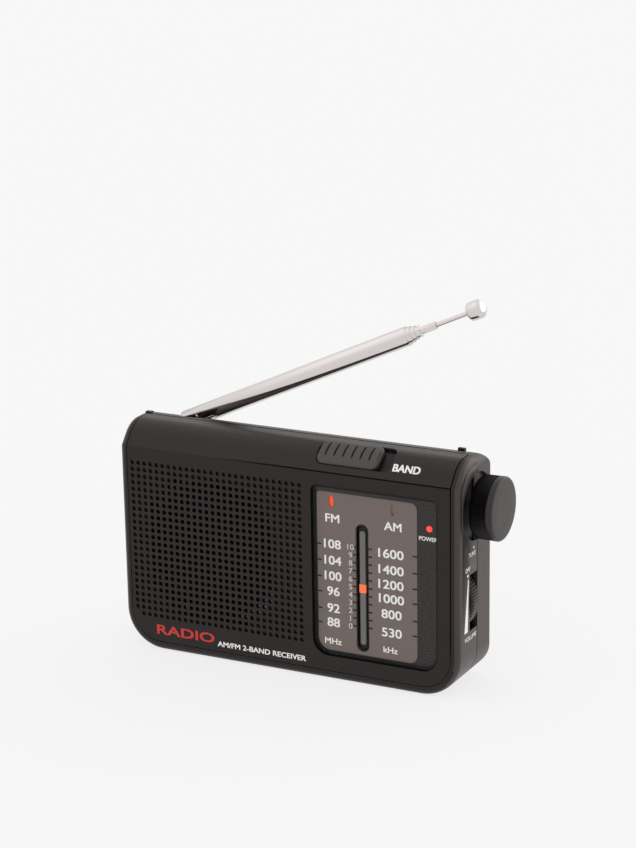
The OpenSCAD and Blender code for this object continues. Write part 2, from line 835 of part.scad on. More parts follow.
module battery_door() {
  color([0.38, 0.36, 0.34]) difference() {
    union() {
      box([-52, rear_y - 1.5, 4.25], [52, rear_y, cell_z + bay_r - 0.6]);
      rod_x(12, 4.25, -53.3, 53.3, 0.5);
      rod_x(12, 4.25, -52, 52, 0.75);
      box([-5, rear_y - 2.6, cell_z + bay_r - 2.2], [5, rear_y - 1.4, cell_z + bay_r - 0.7]);
    }
    for (i = [0:5]) {
      box([-8, rear_y - 0.4, 9 + i * 1.2], [8, rear_y + 1, 9.5 + i * 1.2]);
    }
  }
}

module battery_cells() {
  color([0.85, 0.7, 0.25]) for (x = [-cell_len, 0]) {
    rod_x(cell_y, cell_z, x, x + cell_len - 1, cell_r);
    rod_x(cell_y, cell_z, x + cell_len - 1.2, x + cell_len, 2.7);
  }
}

module battery_spring() {
  color([0.8, 0.8, 0.82]) {
    box([-54.5, cell_y - 4, cell_z - 4], [-54.1, cell_y + 4, cell_z + 4]);
    for (i = [0:4]) {
      translate([-54.2 + i * 0.62, cell_y, cell_z]) rotate([0, 90, 0]) rotate_extrude()
        translate([3.4 - i * 0.3, 0.35]) circle(0.35, $fn = 24);
    }
  }
}

module battery_contact() {
  color([0.8, 0.8, 0.82]) {
    box([54.1, cell_y - 4, cell_z - 4], [54.5, cell_y + 4, cell_z + 4]);
    box([cell_len, cell_y - 2, cell_z - 2], [54.2, cell_y + 2, cell_z + 2]);
  }
}

// ---------- antenna ----------
module at_antenna() {
  translate([ant_x, ant_y, ant_z]) rotate([0, -antenna_tilt, 0]) children();
}

module tube_x(x0, x1, r_out, r_in) {
  difference() {
    rod_x(0, 0, x0, x1, r_out);
    rod_x(0, 0, x0 - 1, x1 + 1, r_in);
  }
}

module antenna_post() {
  color([0.8, 0.8, 0.82]) difference() {
    union() {
      translate([ant_x, ant_y, pocket_z + 0.05]) cylinder(r = 3.3, h = 0.45);
      translate([ant_x, ant_y, pocket_z - pocket_floor - 0.1]) cylinder(r = 2, h = pocket_floor + 0.3);
      box([ant_x - 2.3, ant_y - 0.95, pocket_z + 0.1], [ant_x + 2.3, ant_y + 0.95, ant_z]);
      rod_y(ant_x, ant_z, ant_y - 0.95, ant_y + 0.95, 2.3);
    }
    rod_y(ant_x, ant_z, ant_y - 2, ant_y + 2, 0.85);
  }
}

module antenna_washer() {
  color([0.8, 0.7, 0.4]) translate([ant_x, ant_y, pocket_z - pocket_floor - washer_t - gap]) cylinder(r = washer_r, h = washer_t);
}

module antenna_pin() {
  color([0.85, 0.85, 0.87]) {
    rod_y(ant_x, ant_z, ant_y - ant_r - 0.1, ant_y + ant_r + 0.1, 0.8);
  }
}

module antenna_outer() {
  color([0.85, 0.85, 0.86]) at_antenna() difference() {
    union() {
      rod_x(0, 0, 1.5 - heel, antenna_len, ant_r);
      translate([1.5 - heel, 0, 0]) rotate([0, -90, 0]) cylinder(r1 = ant_r, r2 = ant_r - 1.2, h = 1.5);
    }
    rod_x(0, 0, 9, antenna_len + 1, 2.7);
    box([-heel - 1, -1.05, -5], [3.4, 1.05, 5]);
    rod_y(0, 0, -5, 5, 0.8);
  }
}

module antenna_tube_2() {
  color([0.85, 0.85, 0.86]) at_antenna() tube_x(11, antenna_len + step, 2.65, 2.3);
}

module antenna_tube_3() {
  color([0.85, 0.85, 0.86]) at_antenna() tube_x(13, antenna_len + 2 * step, 2.25, 1.9);
}

module antenna_tube_4() {
  color([0.85, 0.85, 0.86]) at_antenna() tube_x(15, antenna_len + 3 * step, 1.85, 1.25);
}

module antenna_tube_5() {
  color([0.85, 0.85, 0.86]) at_antenna() tube_x(22, antenna_len + 10, 1.2, 0.8);
}

module antenna_rod() {
  color([0.85, 0.85, 0.86]) at_antenna() rod_x(0, 0, 26, antenna_len + 23, 0.75);
}

module antenna_tip() {
  x0 = antenna_len + 21.2;
  color([0.85, 0.85, 0.86]) at_antenna() difference() {
    union() {
      rod_x(0, 0, x0 + 1, x0 + 4.8, 3);
      translate([x0 + 1, 0, 0]) rotate([0, -90, 0]) cylinder(r1 = 3, r2 = 2.2, h = 1);
      translate([x0 + 4.8, 0, 0]) rotate([0, 90, 0]) cylinder(r1 = 3, r2 = 1.8, h = 1.2);
    }
    rod_x(0, 0, x0 - 1, antenna_len + 23, 0.75);
  }
}

module rest_block() {
  box([50.7, rebate_y - 1.2, body_h - 1.3], [53, rebate_y - 0.05, body_h + 0.4]);
}

module lug_block() {
  box([-57.6, part_y + 0.8, body_h - 3], [-55.4, part_y + 2.4, body_h + 0.15]);
}

module antenna_rest() {
  color([0.06, 0.06, 0.06]) rest_block();
}

module strap_lug() {
  color([0.06, 0.06, 0.06]) lug_block();
}

// ---------- fasteners ----------
module case_screws() {
  color([0.75, 0.75, 0.77]) for (p = posts) {
    rod_y(p[0], p[1], -4, rear_y - 1.5, 0.98);
    rod_y(p[0], p[1], rear_y - 2.15, rear_y - 0.9, 2);
  }
}

module board_screws() {
  color([0.75, 0.75, 0.77]) for (p = board_posts) {
    rod_y(p[0], p[1], board_y0 - 0.9, rear_y - 2, 0.78);
    rod_y(p[0], p[1], board_y0 - 1.2, board_y0, 1.7);
  }
}

front_shell();
front_panel();
grille_screen();
dial_lens();
scale_plate();
pointer_track();
pointer();
pointer_carriage();
pointer_rod();
pointer_belt();
belt_pulley();
idler_pulley();
idler_pin();
dial_frame();
power_led();
band_slider();
band_flag();
band_flag_marks();
band_switch();
tune_knob();
tune_shaft();
tune_pinion();
shaft_bearing();
capacitor_gear();
capacitor_spindle();
tuning_capacitor();
volume_wheel();
volume_spindle();
volume_pot();
speaker_basket();
speaker_cone();
speaker_magnet();
speaker_clips();
circuit_board();
if_cans();
electrolytics();
amplifier_chip();
ferrite_rod();
ferrite_coil();
rod_holders();
earphone_jack();
rear_cover();
battery_door();
battery_cells();
battery_spring();
battery_contact();
antenna_post();
antenna_washer();
antenna_pin();
antenna_outer();
antenna_tube_2();
antenna_tube_3();
antenna_tube_4();
antenna_tube_5();
antenna_rod();
antenna_tip();
antenna_rest();
strap_lug();
case_screws();
board_screws();
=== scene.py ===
"""Looks for the two-band pocket radio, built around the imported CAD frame.

Lengths are in millimetres until a mesh is made. x runs to the right, y to the rear and z up.
"""

import json
from math import cos, pi, radians, sin

import bmesh
import bpy
from mathutils import Matrix, Vector
from mathutils.geometry import delaunay_2d_cdt

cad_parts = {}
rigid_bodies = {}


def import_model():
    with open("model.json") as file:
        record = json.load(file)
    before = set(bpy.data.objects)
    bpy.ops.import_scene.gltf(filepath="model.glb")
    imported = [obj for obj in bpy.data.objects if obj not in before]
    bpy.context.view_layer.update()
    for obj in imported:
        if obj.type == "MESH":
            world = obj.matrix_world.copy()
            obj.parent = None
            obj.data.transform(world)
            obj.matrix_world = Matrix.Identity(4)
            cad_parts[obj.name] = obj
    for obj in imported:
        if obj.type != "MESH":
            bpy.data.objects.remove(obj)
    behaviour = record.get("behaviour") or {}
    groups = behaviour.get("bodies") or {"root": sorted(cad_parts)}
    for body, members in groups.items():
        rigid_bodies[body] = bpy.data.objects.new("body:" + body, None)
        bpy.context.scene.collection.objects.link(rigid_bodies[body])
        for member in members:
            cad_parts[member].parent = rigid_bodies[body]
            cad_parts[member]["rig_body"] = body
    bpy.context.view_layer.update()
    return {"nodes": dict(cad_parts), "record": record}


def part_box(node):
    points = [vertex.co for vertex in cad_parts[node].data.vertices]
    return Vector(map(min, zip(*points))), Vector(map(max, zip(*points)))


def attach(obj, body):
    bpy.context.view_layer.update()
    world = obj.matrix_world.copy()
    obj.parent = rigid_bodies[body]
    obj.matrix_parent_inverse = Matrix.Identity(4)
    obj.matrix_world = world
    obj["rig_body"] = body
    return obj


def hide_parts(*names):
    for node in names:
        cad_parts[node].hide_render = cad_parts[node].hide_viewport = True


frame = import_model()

MM = 0.001
BODY_OF = {n: o["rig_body"] for n, o in frame["nodes"].items()}


def span(node):
    """Lowest and highest corner of a CAD node, in millimetres."""
    low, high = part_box(node)
    return low / MM, high / MM


def middle(node):
    low, high = span(node)
    return (low + high) / 2


SHELL_LOW, SHELL_HIGH = span("front_shell")
PANEL_LOW, PANEL_HIGH = span("front_panel")
LENS_LOW, LENS_HIGH = span("dial_lens")
PLATE_Y = span("scale_plate")[0].y
HALF_W = SHELL_HIGH.x
FRONT_Y = SHELL_LOW.y
PART_Y = SHELL_HIGH.y
TOP_Z = SHELL_HIGH.z


# ---------------------------------------------------------------- materials
ROUGH_SWING = 0.15
GRAIN_HEIGHT = 0.03


def material(name, colour, rough, metal=0.0, grain=2500, bump=0.2, tint=0.12, patch=60, **sockets):
    """A procedural finish: fine grain in the bump, slow drift in colour and roughness."""
    made = bpy.data.materials.new(name)
    made.use_nodes = True
    nodes, links = made.node_tree.nodes, made.node_tree.links
    shader = nodes["Principled BSDF"]
    shader.inputs["Metallic"].default_value = metal
    for key, value in sockets.items():
        shader.inputs[key.replace("_", " ")].default_value = value
    where = nodes.new("ShaderNodeTexCoord")

    def noise(scale, detail):
        node = nodes.new("ShaderNodeTexNoise")
        node.inputs["Scale"].default_value = scale
        node.inputs["Detail"].default_value = detail
        links.new(where.outputs["Object"], node.inputs["Vector"])
        return node.outputs["Fac"]

    mix = nodes.new("ShaderNodeMix")
    mix.data_type = "RGBA"
    mix.inputs["A"].default_value = [c * (1 - tint) for c in colour] + [1]
    mix.inputs["B"].default_value = [min(1, c * (1 + tint)) for c in colour] + [1]
    links.new(noise(patch, 3), mix.inputs["Factor"])
    links.new(mix.outputs["Result"], shader.inputs["Base Color"])
    level = nodes.new("ShaderNodeMapRange")
    level.inputs["To Min"].default_value = rough * (1 - ROUGH_SWING)
    level.inputs["To Max"].default_value = min(1, rough * (1 + ROUGH_SWING))
    links.new(noise(patch * 6, 4), level.inputs["Value"])
    links.new(level.outputs["Result"], shader.inputs["Roughness"])
    if bump:
        relief = nodes.new("ShaderNodeBump")
        relief.inputs["Strength"].default_value = bump
        relief.inputs["Distance"].default_value = GRAIN_HEIGHT * MM
        links.new(noise(grain, 2), relief.inputs["Height"])
        links.new(relief.outputs["Normal"], shader.inputs["Normal"])
    return made


# The sheen of the greyish plastics is warm. The inks behind the window carry its gloss as a coat.
WARM = {"Specular_Tint": (1.0, 0.9, 0.87, 1.0)}
GLAZE = {"Coat_Weight": 0.3, "Coat_Roughness": 0.08, "Specular_IOR_Level": 0.3}


def glow(colour, strength):
    """A little light of its own, for what must stay bright behind the smoked window."""
    return {"Emission_Color": (*colour, 1), "Emission_Strength": strength}


LOOKS = {
    "case_plastic": material("charcoal_abs", (0.0068, 0.0056, 0.0053), 0.36, bump=0.25,
                             Specular_IOR_Level=0.32, **WARM),
    # A lighter copy of the charcoal plastic for the sides: painted light, for the brighter light falling on
    # them.
    "side_plastic": material("side_abs", (0.03, 0.0225, 0.02), 0.38, bump=0.25, **WARM),
    "back_plastic": material("grey_abs", (0.03, 0.0225, 0.0195), 0.42, bump=0.25, **WARM),
    # Black plastic, also used as painted shade in the window's trench, the crease's groove, the slots, the
    # knob's recess, the seam and the dial's well.
    "black_plastic": material("black_abs", (0.002, 0.002, 0.002), 0.4, Specular_IOR_Level=0.25),
    "slider_plastic": material("slider_abs", (0.05, 0.044, 0.044), 0.5, bump=0.3, Specular_IOR_Level=0.4),
    "knob_plastic": material("knob_abs", (0.014, 0.0115, 0.011), 0.4, bump=0.3,
                             Specular_IOR_Level=0.4, **WARM),
    "knurl": material("knurl_abs", (0.0015, 0.0014, 0.0015), 0.3, bump=0.2, Specular_IOR_Level=0.3),
    "track_grey": material("track_abs", (0.13, 0.12, 0.115), 0.4),
    "white_plastic": material("acetal", (0.62, 0.59, 0.54), 0.45),
    # The pointer glows a little though it is no lamp: painted light, to keep it bright behind the smoked
    # window.
    "orange_plastic": material("orange_abs", (1.0, 0.13, 0.035), 0.35, tint=0.05,
                               **glow((1, 0.2, 0.06), 0.25)),
    "lens": material("smoke_acrylic", (0.03, 0.027, 0.024), 0.06, bump=0, Alpha=0.03, IOR=1.9),
    "scale_print": material("scale_ink", (0.148, 0.115, 0.104), 0.5, bump=0.03, tint=0.05, patch=2600,
                            **GLAZE),
    "border_print": material("border_ink", (0.01, 0.0075, 0.0065), 0.5, bump=0.03, tint=0.05, **GLAZE),
    "white_print": material("white_ink", (0.80, 0.79, 0.77), 0.5, tint=0.03),
    "pale_print": material("pale_ink", (0.55, 0.52, 0.49), 0.5, tint=0.03),
    "grey_print": material("grey_ink", (0.004, 0.0035, 0.003), 0.5, tint=0.05, Specular_IOR_Level=0.2),
    "logo_print": material("red_ink", (0.52, 0.018, 0.012), 0.45, tint=0.05),
    # The band flag's grey glows though it is no lamp, to look as bright as the field from inside its shade:
    # painted light.
    "flag_grey": material("flag_ink", (0.2, 0.155, 0.14), 0.5, tint=0.05,
                          **glow((0.135, 0.105, 0.097), 0.75)),
    # The red flag glows though it is no lamp: painted light.
    "red_print": material("flag_red", (1.0, 0.045, 0.003), 0.4, tint=0.05, **glow((1, 0.06, 0.003), 0.7)),
    "led_red": material("lamp_red", (0.9, 0.05, 0.03), 0.25, tint=0.05, **glow((1, 0.07, 0.04), 0.5)),
    "chrome": material("chrome_plate", (0.67, 0.63, 0.63), 0.1, 1.0, bump=0.02, tint=0.02, patch=30),
    "steel": material("plated_steel", (0.5, 0.5, 0.52), 0.3, 1.0, bump=0.08, tint=0.06),
    "brass": material("turned_brass", (0.65, 0.45, 0.2), 0.28, 1.0, bump=0.08),
    "copper": material("winding", (0.5, 0.2, 0.08), 0.35, 1.0, grain=3000, bump=0.5),
    "magnet": material("ferrite", (0.05, 0.05, 0.055), 0.6, 0.3, bump=0.4),
    "cloth": material("dust_cloth", (0.006, 0.006, 0.006), 0.9, grain=4200, bump=0.8),
    "paper": material("cone_paper", (0.012, 0.012, 0.012), 0.85, bump=0.6),
    "rubber": material("belt_rubber", (0.012, 0.012, 0.012), 0.7),
    "board": material("phenolic", (0.28, 0.16, 0.06), 0.5),
    "can_blue": material("sleeve_blue", (0.02, 0.05, 0.2), 0.35),
    "cell_sleeve": material("cell_print", (0.42, 0.27, 0.05), 0.35, tint=0.2),
}

SLOT_OF = {s["node"]: s["material_slot"] for s in frame["record"]["subparts"]}
for node, thing in frame["nodes"].items():
    # The band flag takes the glowing grey: painted light.
    look = LOOKS["flag_grey" if node == "band_flag" else SLOT_OF[node]]
    thing.data.materials.clear()
    thing.data.materials.append(look)


# ---------------------------------------------------------------- outlines
ARC_STEP = radians(5)


class Profile:
    """A side view made of straight runs, arcs and corners, from a start point and heading.

    v is the distance along it, and depth is measured inwards, to its right.
    """

    def __init__(self, y, z, heading, runs):
        self.runs, self.stops, v = [], [], 0.0
        for kind, size, turn in runs:
            if kind == "corner":
                heading -= turn
                self.stops.append(v)
                continue
            length = size if kind == "line" else size * turn
            self.runs.append((v, v + length, kind, y, z, heading, size))
            if kind == "line":
                y += length * cos(heading)
                z += length * sin(heading)
            else:
                centre = (y + size * sin(heading), z - size * cos(heading))
                steps = max(4, int(turn / ARC_STEP))
                self.stops += [v + length * i / steps for i in range(steps + 1)]
                heading -= turn
                y, z = centre[0] - size * sin(heading), centre[1] + size * cos(heading)
            v += length
        self.length = v

    def _on(self, run, v):
        """Point and inward normal on one run."""
        start, _, kind, y, z, heading, size = run
        if kind == "line":
            spot = (y + (v - start) * cos(heading), z + (v - start) * sin(heading))
            return spot, (sin(heading), -cos(heading))
        a = heading - (v - start) / size
        centre = (y + size * sin(heading), z - size * cos(heading))
        return (centre[0] - size * sin(a), centre[1] + size * cos(a)), (sin(a), -cos(a))

    def at(self, v):
        """Point and inward normal; at a sharp corner the normal is the mitre of its two sides."""
        hits = [r for r in self.runs if r[0] - 1e-5 <= v <= r[1] + 1e-5]
        if not hits:
            hits = [self.runs[0] if v < 0 else self.runs[-1]]
        spot, normal = self._on(hits[0], v)
        if len(hits) > 1:
            other = self._on(hits[1], v)[1]
            mid = Vector((normal[0] + other[0], normal[1] + other[1]))
            normal = mid * (2 / mid.length_squared)
        return spot, normal

    def __call__(self, x, v, depth):
        (y, z), n = self.at(v)
        return (x, y + depth * n[0], z + depth * n[1])

    def v_at_y(self, y):
        """The distance along the profile where it reaches y, past its first run."""
        low, high = self.runs[0][1], self.length
        for _ in range(50):
            mid = (low + high) / 2
            low, high = (mid, high) if self.at(mid)[0][0] < y else (low, mid)
        return low


def arc(cx, cz, r, a0, a1, steps=10):
    turns = [a0 + (a1 - a0) * i / steps for i in range(steps + 1)]
    return [(cx + r * cos(a), cz + r * sin(a)) for a in turns]


def frame_loop(x0, z0, x1, z1, low_r, top_r, steps=10):
    """A rounded rectangle as shape(inset), counter-clockwise from the lower left."""

    def shape(t):
        lr, tr = max(low_r - t, 0.02), max(top_r - t, 0.02)
        a, b, c, d = x0 + t, z0 + t, x1 - t, z1 - t
        return (arc(a + lr, b + lr, lr, pi, 1.5 * pi, steps)
                + arc(c - lr, b + lr, lr, 1.5 * pi, 2 * pi, steps)
                + arc(c - tr, d - tr, tr, 0, pi / 2, steps)
                + arc(a + tr, d - tr, tr, pi / 2, pi, steps))

    return shape


def oval(x, z, half_x, half_z, steps=28):
    """An ellipse as shape(inset)."""

    def shape(t):
        turns = [2 * pi * i / steps for i in range(steps)]
        return [(x + (half_x - t) * cos(a), z + (half_z - t) * sin(a)) for a in turns]

    return shape


def disc_loop(x, z, r, steps=48):
    return oval(x, z, r, r, steps)


# ---------------------------------------------------------------- mesh building
class Skin:
    """A moulded surface: flat regions in (x, v), wrapped by place(x, v, depth), with rolled edges."""

    def __init__(self, place=lambda x, v, d: (x, v, d)):
        self.place, self.verts, self.faces, self.tags = place, [], [], []
        self.tag = 0

    def put(self, spots):
        """Adds points that are already in space."""
        start = len(self.verts)
        self.verts += spots
        return list(range(start, len(self.verts)))

    def add(self, points, depth):
        """Adds flat points, wrapped to their place."""
        return self.put([self.place(x, v, depth) for x, v in points])

    def face(self, *loop):
        self.faces.append(loop)
        self.tags.append(self.tag)

    def bridge(self, a, b, closed=True):
        count = len(a)
        for i in range(count if closed else count - 1):
            j = (i + 1) % count
            self.face(a[i], a[j], b[j], b[i])

    def rim(self, shape, radius, wall, lift=0.0, outwards=False, closed=True, steps=5, floor=None):
        """Rolls an edge over from the surface into its wall. outwards says it isn't a hole's edge."""
        sign = 1 if outwards else -1
        ring = self.add(shape(sign * radius), lift)
        for k in range(1, steps + 1):
            a = pi / 2 * k / steps
            nxt = self.add(shape(sign * radius * (1 - sin(a))), lift + radius * (1 - cos(a)))
            self.bridge(ring, nxt, closed)
            ring = nxt
        if wall > lift + radius:
            nxt = self.add(shape(0), wall)
            self.bridge(ring, nxt, closed)
            ring = nxt
        if floor is not None:
            self.tag, kept = floor, self.tag
            self.face(*ring)
            self.tag = kept
        return ring

    def region(self, outline, holes=(), depth=0.0, lines=(), across=(-100, 100)):
        """Fills outline, less its holes, with triangles that break along the given v lines."""
        points, edges, loops = [], [], []
        for loop in [outline, *holes]:
            area = sum(p[0] * q[1] - q[0] * p[1] for p, q in zip(loop, loop[1:] + loop[:1]))
            loop = list(loop) if area > 0 else list(reversed(loop))
            loops.append(list(range(len(points), len(points) + len(loop))))
            points += [Vector(p) for p in loop]
        low, high = min(p.y for p in points), max(p.y for p in points)
        for v in lines:
            if low + 1e-4 < v < high - 1e-4:
                edges.append((len(points), len(points) + 1))
                points += [Vector((across[0], v)), Vector((across[1], v))]
        verts, _, faces, _, _, origin = delaunay_2d_cdt(points, edges, loops, 0, 1e-6)
        index = self.add([(p.x, p.y) for p in verts], depth)
        for tri, from_loops in zip(faces, origin):
            if 0 in from_loops and not any(k in from_loops for k in range(1, len(loops))):
                self.face(*[index[i] for i in tri])


def plain_mesh(name, verts, faces):
    mesh = bpy.data.meshes.new(name)
    mesh.from_pydata([Vector(v) * MM for v in verts], [], faces)
    mesh.update()
    return mesh


def finish_mesh(name, skin, looks, body, stands_for=(), sharp=32, outward=None, weighted=True):
    """Makes the object, joins its seams, and shades it smooth apart from its sharp edges.

    outward is the way that its largest face looks. sharp is in degrees.
    """
    mesh = plain_mesh(name, skin.verts, skin.faces)
    for look in looks if isinstance(looks, list) else [looks]:
        mesh.materials.append(look)
    mesh.polygons.foreach_set("material_index", skin.tags)
    bm = bmesh.new()
    bm.from_mesh(mesh)
    bmesh.ops.remove_doubles(bm, verts=bm.verts, dist=3e-6)
    bmesh.ops.delete(bm, geom=[v for v in bm.verts if not v.link_faces], context="VERTS")
    bmesh.ops.recalc_face_normals(bm, faces=bm.faces)
    if outward is not None:
        best = max(bm.faces, key=lambda f: f.calc_area())
        if best.normal.dot(Vector(outward)) < 0:
            bmesh.ops.reverse_faces(bm, faces=bm.faces)
    bm.to_mesh(mesh)
    bm.free()
    mesh.shade_smooth()
    mesh.set_sharp_from_angle(angle=radians(sharp))
    thing = bpy.data.objects.new(name, mesh)
    bpy.context.scene.collection.objects.link(thing)
    if weighted:
        mod = thing.modifiers.new("weighted", "WEIGHTED_NORMAL")
        mod.keep_sharp = True
        mod.weight = 60
    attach(thing, body)
    if stands_for:
        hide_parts(*stands_for)
    return thing


# ---------------------------------------------------------------- the moulded front, seen from the side
CREASE_Z = 67.6
BROW_A = radians(50)
BROW_R = 9.4
GAP = 0.35  # the front half stops this short of the parting plane
BACK_Y = PART_Y - GAP

SLOPE_LENGTH = (TOP_Z - BROW_R * (1 - cos(BROW_A)) - CREASE_Z) / sin(BROW_A)
ARC_Y = FRONT_Y + SLOPE_LENGTH * cos(BROW_A) + BROW_R * sin(BROW_A)
front = Profile(FRONT_Y, 0, pi / 2, [
    ("line", CREASE_Z, 0),
    ("corner", 0, pi / 2 - BROW_A),
    ("line", SLOPE_LENGTH, 0),
    ("arc", BROW_R, BROW_A),
    ("line", PART_Y - ARC_Y, 0),
])
TOP_V = front.length - GAP


# ---------------------------------------------------------------- front panel
PANEL_R = 10.0
PANEL_T = 1.5

# Grille: a block of holes, of which those over the speaker go through
PITCH = 2.2
GRILLE_X, GRILLE_Z = -54.0, 62.4
GRILLE_COLS, GRILLE_ROWS = 28, 24
MID_COL, MID_ROW = 12.5, 12
OPEN_COLS, OPEN_ROWS, OPEN_BOTH = 9.5, 10, 15.5
HOLE_R, HOLE_LIP = 0.69, 0.14
BLIND_DEPTH = 0.8

# The band slider's slot, by where its edges lie on the brow
BAND_X0, BAND_X1 = 9.9, 34.9
BAND_V0, BAND_V1 = front.v_at_y(-11.05), front.v_at_y(-2.9)
band_slot = frame_loop(BAND_X0, BAND_V0, BAND_X1, BAND_V1, 2.4, 2.8)

# The window's opening, with a trench behind the gap round the lens, whose black walls are painted shade
SEAM = 0.1
window = frame_loop(LENS_LOW.x - SEAM, LENS_LOW.z - SEAM, LENS_HIGH.x + SEAM, LENS_HIGH.z + SEAM, 5.4, 2.2)
TRENCH_DEPTH, TRENCH_W = 1.25, 1.0

# The crease's groove comes to a point on the left; its black floor is painted shade
CREASE_X0, CREASE_X1, TAPER = -24.0, PANEL_HIGH.x - 0.3, 22
GROOVE_HALF, GROOVE_DEPTH = 0.24, 0.42

panel_edge = frame_loop(-PANEL_HIGH.x, PANEL_LOW.z, PANEL_HIGH.x, TOP_V, PANEL_R, 0.3)


def grille_spots():
    """Each hole's x and z, and whether it goes through. The one at the lower left is missing."""
    for col in range(GRILLE_COLS):
        for row in range(GRILLE_ROWS):
            if (col, row) == (0, GRILLE_ROWS - 1):
                continue
            u, w = abs(col - MID_COL), abs(row - MID_ROW)
            through = u <= OPEN_COLS and w <= OPEN_ROWS and u + w <= OPEN_BOTH
            yield GRILLE_X + col * PITCH, GRILLE_Z - row * PITCH, through


def groove(t):
    """The crease's groove, inset by t."""
    half, shoulder, end = GROOVE_HALF - t, CREASE_X0 + TAPER, CREASE_X1 - t
    return [(CREASE_X0, CREASE_Z - 0.01), (shoulder, CREASE_Z - half), (end, CREASE_Z - half),
            (end, CREASE_Z + half), (shoulder, CREASE_Z + half), (CREASE_X0, CREASE_Z + 0.01)]


def build_panel():
    skin = Skin(front)
    soft, lip = 0.22, 0.3
    holes = []
    for x, z, through in grille_spots():
        hole = disc_loop(x, z, HOLE_R, 14)
        holes.append(hole(-HOLE_LIP))
        if through:
            skin.rim(hole, HOLE_LIP, PANEL_T, steps=2)
        else:
            skin.rim(hole, HOLE_LIP, BLIND_DEPTH, steps=2, floor=0)
    holes.append(band_slot(-lip))
    # The slot's floor is black: painted shade in the opening beside the slider.
    skin.rim(band_slot, lip, PANEL_T, floor=1)
    holes.append(window(-lip / 2))
    edge = skin.rim(window, lip / 2, 0, steps=3)
    # The trench's walls and floor are black: painted shade in the gap round the lens.
    skin.tag = 1
    trench = skin.add(window(0), TRENCH_DEPTH)
    skin.bridge(edge, trench)
    skin.bridge(trench, skin.add(window(TRENCH_W), TRENCH_DEPTH))
    skin.tag = 0
    holes.append(groove(0))
    low = skin.add(groove(0.1), GROOVE_DEPTH)
    skin.bridge(skin.add(groove(0), 0), low)
    # The groove's floor is black: painted shade in the crease.
    skin.tag = 1
    skin.face(*low)
    skin.tag = 0
    skin.region(panel_edge(soft), holes, lines=front.stops)
    skin.rim(panel_edge, soft, PANEL_T, outwards=True)
    looks = [LOOKS["case_plastic"], LOOKS["black_plastic"]]
    finish_mesh("panel_front", skin, looks, "case", ["front_panel"], outward=(0, -1, 0))


build_panel()


# ---------------------------------------------------------------- front shell
EDGE_R = 2.3
FOOT_R = 13.0
LEDGE_DEPTH, LEDGE_W = PANEL_T + 0.3, 3

KNOB_Z = middle("tune_knob").z
RECESS_R, RECESS_DEPTH = 10.6, 1.6
SLOT_Y0, SLOT_Z0, SLOT_Z1, SLOT_DEPTH = -4.4, 20.2, 38.2, 4
JACK_Y, JACK_Z, JACK_R, JACK_DEPTH, JACK_LIP = -3.0, 56.5, 2.6, 1.8, 0.25


def foot_chain(half, low, r):
    """An open outline from the top left, down, round the foot and up to the top right."""
    stops = front.stops
    return ([(-half, TOP_V)] + [(-half, v) for v in reversed(stops)]
            + arc(-half + r, low + r, r, pi, 1.5 * pi, 16) + arc(half - r, low + r, r, 1.5 * pi, 2 * pi, 16)
            + [(half, v) for v in stops] + [(half, TOP_V)])


def shell_chain(t):
    return foot_chain(HALF_W - t, t, FOOT_R - t)


def panel_chain(t):
    return foot_chain(PANEL_HIGH.x + SEAM - t, PANEL_LOW.z - SEAM + t, PANEL_R + SEAM - t)


def knob_recess(steps):
    """The half of the knob's recess that is in the front shell, in (y, z)."""
    return arc(BACK_Y, KNOB_Z, RECESS_R, pi / 2, 1.5 * pi, steps)


wheel_slot = [(BACK_Y, SLOT_Z1), (SLOT_Y0, SLOT_Z1), (SLOT_Y0, SLOT_Z0), (BACK_Y, SLOT_Z0)]


def side_outline(sign):
    """The shell's flat side in (y, z). The right one is notched for the knob and the volume wheel."""
    points = [(FRONT_Y + EDGE_R, FOOT_R)]
    for v in front.stops + [TOP_V]:
        y, z = front(0, v, EDGE_R)[1:]
        if y > points[-1][0] - 1e-6 or z > points[-1][1]:
            points.append((min(y, BACK_Y), z))
    if sign > 0:
        points += knob_recess(20) + wheel_slot
    points.append((BACK_Y, FOOT_R))
    return points


def build_side(skin, sign):
    skin.place = lambda y, z, d: (sign * (HALF_W - d), y, z)
    if sign < 0:
        jack = disc_loop(JACK_Y, JACK_Z, JACK_R, 40)
        skin.rim(jack, JACK_LIP, JACK_DEPTH)
        skin.region(side_outline(sign), [jack(-JACK_LIP)])
        return
    skin.region(side_outline(sign))
    recess = knob_recess(40)
    floor = skin.add(recess, RECESS_DEPTH)
    # The knob recess's wall and floor and the wheel slot's walls are black: painted shade.
    skin.tag = 1
    skin.bridge(skin.add(recess, 0), floor, closed=False)
    skin.face(*floor)
    skin.bridge(skin.add(wheel_slot, 0), skin.add(wheel_slot, SLOT_DEPTH), closed=False)
    skin.tag = 0


